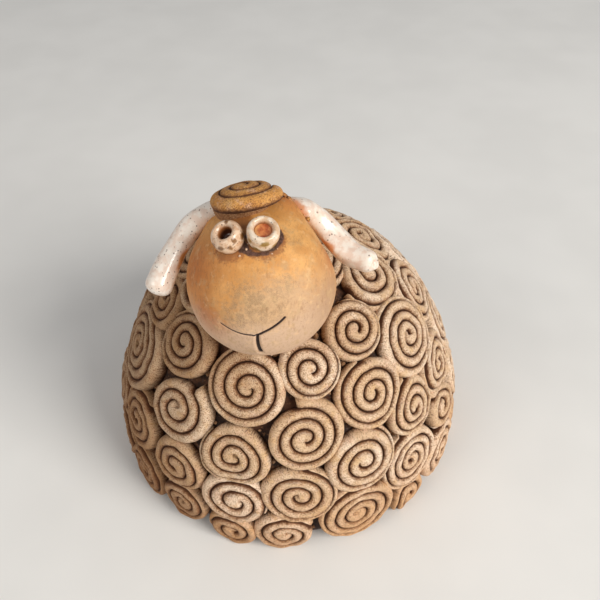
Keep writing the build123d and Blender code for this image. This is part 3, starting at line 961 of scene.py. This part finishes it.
# %% Glaze finish
def glaze_finish(name, white, cloudy, thin, speck_mm, speck_from, rough=0.28):
    look = Finish(name)
    speck_size = speck_mm * mm
    cloud = look.grain(1.6 * mm, 3.0)
    look.colour = clay(*white)
    look.lay(clay(*cloudy), cloud, 0.38, 0.62, 0.85)
    patchy = look.plus(look.number("thin"), look.uneven(cloud, 0.5))
    look.lay(clay(*thin), patchy, 0.38, 0.72)
    look.lay(clay(98, 66, 36), patchy, 0.75, 1.05, 0.6)
    speck = look.band(look.cells(speck_size), 0.16, 0.27, 1.0, 0.0)
    speck = look.times(speck, look.band(look.grain(speck_size * 1.3, 1.0), speck_from, speck_from + 0.06))
    look.rub(clay(84, 58, 46), look.times(speck, 0.8))
    # Painted shade in the bead's hole: brown, and darker further down.
    look.lay(clay(150, 92, 50), look.number("hole"), 0.05, 0.5)
    look.lay(clay(74, 38, 20), look.number("hole"), 0.45, 0.9)
    return look.done(rough, look.bump(look.grain(1.8 * mm, 2.0), 0.30, 0.3 * mm), 0.5)


glaze_recipes = {
    # The left ear's white is paler than the right's: painted light, for its place on the dim left.
    "ear_left": ("left_ear_glaze", (244, 234, 222), (230, 206, 188), (206, 148, 92), 0.66, 0.45),
    "ear_right": ("right_ear_glaze", (238, 226, 212), (226, 198, 178), (214, 148, 104), 0.85, 0.53, 0.36),
    "eye_left": ("pink_glaze", (222, 194, 166), (192, 146, 108), (132, 90, 46), 0.6, 0.44),
    "eye_right": ("white_glaze", (230, 212, 190), (206, 168, 130), (156, 124, 64), 0.6, 0.46),
}
glazes = {node: glaze_finish(*recipe) for node, recipe in glaze_recipes.items()}

# %% [markdown]
# ## The eyes
# Each eye is a short bead of clay, poked with a stick and set on the head. Its outline is drawn once
# as a half profile and turned round, then smoothed with a subdivision. The right bead is flared and
# its hole is filled with a pool of orange glaze; the left one has a narrow dark hole.


# %% Turned pieces
def smoothed(piece, levels):
    """Subdivides a piece and writes the result into its mesh."""
    piece.modifiers.new("smooth", "SUBSURF").levels = levels
    seen = bpy.context.evaluated_depsgraph_get()
    piece.data = bpy.data.meshes.new_from_object(piece.evaluated_get(seen))
    piece.modifiers.clear()
    return piece


def turned(name, place, line, up, profile, finish, seed, segments=20, **marks):
    """A half profile turned round a line. A mark is a number, or a rule that gives one at each point."""
    line = unit(line)
    side = unit(np.cross(up, line))
    top = np.cross(line, side)
    turn = full_turn * np.arange(segments) / segments
    points, numbers = [], {key: [] for key in marks}
    for k, (out, high) in enumerate(profile):
        uneven = 1 + wobble(turn, seed + k // 3, (full_turn, math.pi), 0.035)
        for angle, swell in zip(turn, uneven):
            ring = side * math.cos(angle) + top * math.sin(angle)
            points.append(place + ring * out * swell * mm + line * high * mm)
            for key, mark in marks.items():
                numbers[key].append(mark(out, high, angle) if callable(mark) else mark)
    piece = make_piece(name, points, tube_faces(len(profile), segments), finish, **numbers)
    return smoothed(piece, 2)


# %% Profiles of the beads: distance out and height, in mm
eye_profiles = {
    "eye_left": (
        (2.3, -0.9), (2.6, -0.2), (3.0, 0.6), (3.1, 1.5), (3.0, 2.4), (2.7, 3.1), (2.25, 3.5),
        (1.75, 3.45), (1.4, 3.05), (1.25, 2.4), (1.15, 1.6), (0.9, 1.1), (0.4, 1.05),
    ),
    "eye_right": (
        (2.3, -0.9), (2.6, -0.2), (2.95, 0.6), (3.0, 1.4), (3.0, 2.3), (2.95, 3.0), (2.65, 3.5),
        (2.15, 3.6), (1.8, 3.3), (1.6, 2.8), (1.5, 2.3), (1.1, 2.05), (0.4, 2.0),
    ),
}
hole_radius = {"eye_left": 1.45, "eye_right": 1.7}
# Spots where the glaze is thin: degrees round the bead, height in mm and how wide. On the right
# bead the two low spots on the left, at -142 and -112 degrees, are painted shade.
bare_spots = {
    "eye_left": (
        (-138, 2.5, 0.18), (-104, 2.4, 0.23), (-45, 2.8, 0.18), (-72, 2.0, 0.20),
        (78, 3.3, 0.18), (-118, 0.8, 0.2), (-8, 1.8, 0.28), (150, 2.6, 0.16),
    ),
    "eye_right": ((-82, 2.6, 0.32), (-142, 1.9, 0.20), (-112, 0.7, 0.26), (-40, 1.0, 0.3), (175, 1.5, 0.3)),
}


# %% Marks for the glaze
def glaze_marks(name):
    inner = hole_radius[name]

    def thin(out, high, angle):
        spots = 0.0
        for around, level, wide in bare_spots[name]:
            apart = (math.degrees(angle) - around + 180) % 360 - 180
            near = (math.radians(apart) / (1.25 * wide)) ** 2 + ((high - level) / 0.7) ** 2
            spots = max(spots, math.exp(-near))
        return max(0.62 - 0.45 * high, 1.1 * spots if out > inner else 0.0)

    # Painted shade: how deep a point lies in the hole.
    def hole(out, high, angle):
        return min(max((3.3 - high) / 1.5, 0), 1) if out < inner and high > 0.9 else 0.0

    return {"thin": thin, "hole": hole}


# %% Bead eyes
for name, way in zip(eye_profiles, eye_ways):
    eye = turned(
        f"{name}_bead", head_middle + way * head_radius, way, eyes_up, eye_profiles[name], glazes[name],
        60 + len(name), segments=36, **glaze_marks(name),
    )
    place_in_model(eye, name)
print("eyes", round(math.degrees(math.acos(eye_ways[0] @ eye_ways[1])), 1), "degrees apart")

# %% Orange pool in the right eye
look = Finish("amber_glaze")
cloud = look.grain(1.2 * mm, 2.0)
look.clays(cloud, 0.35, 0.65, clay(160, 72, 28), clay(208, 126, 68))
look.rub(clay(226, 172, 104), look.number("glow"))
amber_glaze = look.done(0.10, look.bump(cloud, 0.35, 0.2 * mm), 1.0)
pool = turned(
    "eye_pool", head_middle + eye_ways[1] * head_radius, eye_ways[1], eyes_up,
    ((1.6, 2.0), (1.7, 2.35), (1.55, 2.62), (1.1, 2.5), (0.5, 2.42)), amber_glaze, 90,
    glow=lambda out, high, angle: max(0.0, -math.cos(angle)) * max(0.0, out - 0.8),
)
place_in_model(pool)

# %% Beads of glaze that ran off: which eye, degrees round it, distance from its middle and size in mm
spots = []
for eye, around, apart, size in (
    (0, -35, 3.55, 0.24), (0, -62, 3.7, 0.22), (0, -16, 3.4, 0.20), (1, -58, 3.6, 0.22), (1, -34, 3.5, 0.18),
):
    turn = math.radians(around)
    aside = eyes_side * math.cos(turn) + eyes_up * math.sin(turn)
    way = unit(eye_ways[eye] * head_radius + aside * apart * mm)
    spots.append((head_middle + way * head_radius, size * mm))
lumps_piece("glaze_beads", spots, glazes["eye_left"], "eye_glaze", 45, thin=0.3, hole=0.12)

# %% [markdown]
# ## Pad of slip under the topknot
# Thick slip holds the topknot on and fills the gap between it and the ball. The helper that turned
# the beads turns the pad too.

# %% Topknot pad
# The pad is darkened by a fixed amount of painted shade.
pad = turned(
    "topknot_pad", topknot_foot + np.array((-0.7, 0, 0)) * mm, topknot_face, pointing(0, 0),
    ((4.2, -4.4), (4.9, -3.2), (5.4, -2.2), (5.8, -1.3), (5.9, -0.6), (5.2, 0.1), (2.0, 0.4)),
    curl_clay, 120, segments=60, groove=0.68, edge=0.0, tone=-0.1, warm=0.6, sooty=0.55,
)
place_in_model(pad)

# %% [markdown]
# ## The ears
# An ear is a roll of clay, flattened where it is smeared on the head and bent as it hangs. A few spots
# give its line, its width and how flat it is there; a ring of points is carried along a smooth line
# through them. The right ear keeps the fold of its roll: a low lobe along one side. The glaze is thin
# at its root and shows ochre there. A streak of the same ochre along the roll is painted light: a
# painted reflection of the head on the left ear, and painted shade under the lobe of the right ear.


# %% Line through spots
def through(spots, count):
    """A smooth line through the spots; works on any columns of numbers."""
    spots = np.vstack((2 * spots[0] - spots[1], spots, 2 * spots[-1] - spots[-2]))
    t = np.linspace(0, len(spots) - 3 - 1e-6, count)
    k = t.astype(int)
    f = (t - k)[:, None]
    a, b, c, d = (spots[k + i] for i in range(4))
    return 0.5 * (2 * b + (c - a) * f + (2 * a - 5 * b + 4 * c - d) * f**2 + (3 * b - a - 3 * c + d) * f**3)


# %% Ear helper
def rolled_ear(name, stations, lobe, streak, seed, count=70, section=32):
    spots = [on_head(*station[:3]) for station in stations]
    shape = through(np.array([(*spot, *station[3:]) for spot, station in zip(spots, stations)]), count)
    line, wide, flat = shape[:, :3], shape[:, 3] * mm, shape[:, 4]
    length = np.concatenate(([0], np.cumsum(np.linalg.norm(np.diff(line, axis=0), axis=1))))
    t = length / length[-1]
    along = np.gradient(line, axis=0)
    along /= np.linalg.norm(along, axis=1)[:, None]
    away = line - head_middle
    away -= np.sum(away * along, axis=1)[:, None] * along
    away /= np.linalg.norm(away, axis=1)[:, None]
    beside = np.cross(along, away)
    # The roll is a little uneven, and both its ends are rounded off.
    wide = wide * (1 + wobble(t, seed, (0.5, 0.31), 0.03))
    tip = np.clip((t - 0.90) / 0.10, 0, 0.985)
    root = np.clip((0.06 - t) / 0.06, 0, 0.95)
    wide *= np.sqrt(1 - tip**2.6) * np.sqrt(1 - root**2)
    # The fold: a lobe on one side of the roll, with a crease beside it.
    around = full_turn * np.arange(section) / section
    bulge = lobe * hump(t, 0.60, 0.19)[:, None] * hump(around, 0.80 * math.pi, 0.40)
    crease = 0.35 * bulge.max(axis=1)[:, None] * hump(around, 0.52 * math.pi, 0.22)
    out = wide[:, None] * (1 + bulge - crease)
    across = away[:, None] * (np.cos(around) * flat[:, None])[..., None]
    across = across + beside[:, None] * np.sin(around)[:, None]
    points = (line[:, None] + across * out[..., None]).reshape(-1, 3)
    # The glaze is thin at the root; the streak along the roll is painted light: a painted reflection of
    # the head on the left ear, painted shade under the lobe on the right ear.
    where, inner = streak
    thin = hump(t, where, 0.13)[:, None] * np.maximum(0, np.cos(around - inner * math.pi)) ** 10
    thin = 0.9 * thin + (0.75 * hump(t, 0, 0.05))[:, None]
    piece = make_piece(name + "_roll", points, tube_faces(count, section), glazes[name], thin=thin.ravel())
    place_in_model(smoothed(piece, 1), name)
    return piece


# %% Both ears
# Each spot: azimuth and elevation on the head, height above it, half width, and thickness for that width.
left_ear = rolled_ear(
    "ear_left",
    (
        (-150, 50, -0.6, 2.2, 0.6), (-142, 45, 0.8, 2.4, 0.7), (-134, 39, 1.6, 2.5, 0.85),
        (-118.6, 28.5, 2.4, 2.6, 0.95), (-105.5, 17, 3.0, 2.6, 0.9), (-94.5, 6.9, 4.1, 2.75, 0.95),
        (-86, -0.7, 5.5, 3.0, 0.95), (-82, -4, 6.5, 3.1, 0.95),
    ),
    lobe=0.0, streak=(0.66, 1.12), seed=3,
)
right_ear = rolled_ear(
    "ear_right",
    (
        (143, 47, 0.5, 3.7, 0.40), (143.5, 39, 1.2, 3.3, 0.6), (141, 31, 1.8, 2.8, 0.8),
        (134.0, 21, 2.2, 2.75, 0.9), (124.0, 11.2, 2.7, 2.95, 0.9), (110.5, 3.4, 4.2, 2.85, 0.9),
        (100.3, 2.0, 7.7, 2.5, 0.9), (98.6, 2.3, 8.4, 2.15, 0.9),
    ),
    lobe=0.55, streak=(0.58, 0.84), seed=4,
)
print("ears", len(left_ear.data.vertices), len(right_ear.data.vertices), "points")

# %% [markdown]
# ## Seam of the right ear
# The ear was smeared on with slip, which broke off in crumbs along the seam and took the ochre stain.

# %% Crumbs along the seam
seam = through(np.array([(157, 52, 2.4), (150, 50, 1.8), (143, 47, 0.9), (136, 43, 0.3), (129, 38, 0.1)]), 90)
dice = seeded(31)
spots = []
for azimuth, elevation, high in seam:
    azimuth, elevation = azimuth + dice.normal(0, 1.3), elevation + dice.normal(0, 1.0)
    spots.append((on_head(azimuth, elevation, high), dice.uniform(0.20, 0.45) * mm))
# The seam crumbs get a little painted shade as well as the ochre.
lumps_piece(
    "ear_seam", spots, topknot_clay, "topknot_clay", 32, groove=0.55, edge=0.0, tone=0.0, warm=0.3, sooty=0.15
)

# %% [markdown]
# ## The neck
# Where the head was pressed on, soft clay squeezed out in a ragged ring. It is a turned ring whose
# points are pushed in and out unevenly.

# %% Neck ring
segments, unevenness = 90, 0.65
profile = (
    (4.0, -2.6), (8.2, -2.4), (8.5, -1.0), (8.1, 0.4), (7.9, 1.6),
    (8.2, 2.9), (8.0, 4.2), (6.9, 4.6), (4.0, 3.4),
)
side = unit(np.cross(head_lean, (0, 1.0, 0)))
top = np.cross(head_lean, side)
turn = full_turn * np.arange(segments) / segments
ring_points = []
for k, (out, high) in enumerate(profile):
    ends = k in (0, len(profile) - 1)
    ragged = 0 * turn if ends else wobble(turn, 300 + k, (0.19, 0.37, 0.83), unevenness)
    for angle, rough in zip(turn, ragged):
        way = side * math.cos(angle) + top * math.sin(angle)
        ring_points.append(neck_spot + way * (out + rough) * mm + head_lean * (high + 0.5 * rough) * mm)
# The ring is darkened by a fixed amount of painted shade.
neck = make_piece(
    "neck_ring", ring_points, tube_faces(len(profile), segments), curl_clay, np.zeros((len(ring_points), 2)),
    groove=0.35, edge=0.0, tone=0.0, warm=0.3, sooty=0.4,
)
place_in_model(smoothed(neck, 1), "neck_collar")

# %% [markdown]
# ## Floor, light and camera
# A plain pale floor, a large soft window-like light from the upper right, a weak warm one from the
# left and a pale sky all round. The camera stands where the photograph was taken from: in front and
# 44 degrees above level, close, with a 42 mm lens.

# %% Floor
look = Finish("floor_finish")
paper = look.grain(40 * mm, 2.0)
look.clays(paper, 0.3, 0.7, clay(226, 225, 222), clay(231, 230, 227))
floor_finish = look.done(0.9, look.bump(paper, 0.05, 0.2 * mm))
half = 1.5
corners = [(-half, -half, 0), (half, -half, 0), (half, half, 0), (-half, half, 0)]
floor = make_piece("floor", corners, [(0, 1, 2, 3)], floor_finish)
floor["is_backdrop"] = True

# %% Light
world = bpy.data.worlds.new("pale_room")
world.use_nodes = True
sky = world.node_tree.nodes["Background"].inputs
sky["Color"].default_value = (0.96, 0.97, 1.0, 1.0)
sky["Strength"].default_value = 0.33
bpy.context.scene.world = world


def soft_light(name, place, target, size, watts, colour):
    light = bpy.data.lights.new(name, "AREA")
    light.shape, light.size, light.energy, light.color = "DISK", size, watts, colour
    lamp = bpy.data.objects.new(name, light)
    lamp.location = place
    lamp.rotation_euler = (Vector(target) - Vector(place)).to_track_quat("-Z", "Y").to_euler()
    bpy.context.scene.collection.objects.link(lamp)


soft_light("window", (0.70, -0.54, 0.61), (0, 0, 0.04), 0.62, 10.9, (1.0, 0.97, 0.92))
soft_light("fill", (-0.45, -0.35, 0.42), (0, 0, 0.04), 0.40, 1.2, (1.0, 0.95, 0.88))

# %% Camera
camera = bpy.data.cameras.new("camera")
camera.lens, camera.sensor_width = 42.0, 36.0
camera.clip_start = 0.01
eye_place = bpy.data.objects.new("camera", camera)
eye_place.location = (0.00329, -0.12632, 0.16318)
eye_place.rotation_euler = (math.radians(46), 0, 0)
bpy.context.scene.collection.objects.link(eye_place)
bpy.context.scene.camera = eye_place
bpy.context.scene.view_settings.view_transform = "Standard"

# %% [markdown]
# ## Size
# The dressed sheep's box is printed. The dressed sheep must not grow past the imported
# model.

# %% Print the size
low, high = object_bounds()
print("visual box in mm", [round(v / mm, 1) for v in (*low, *high)])
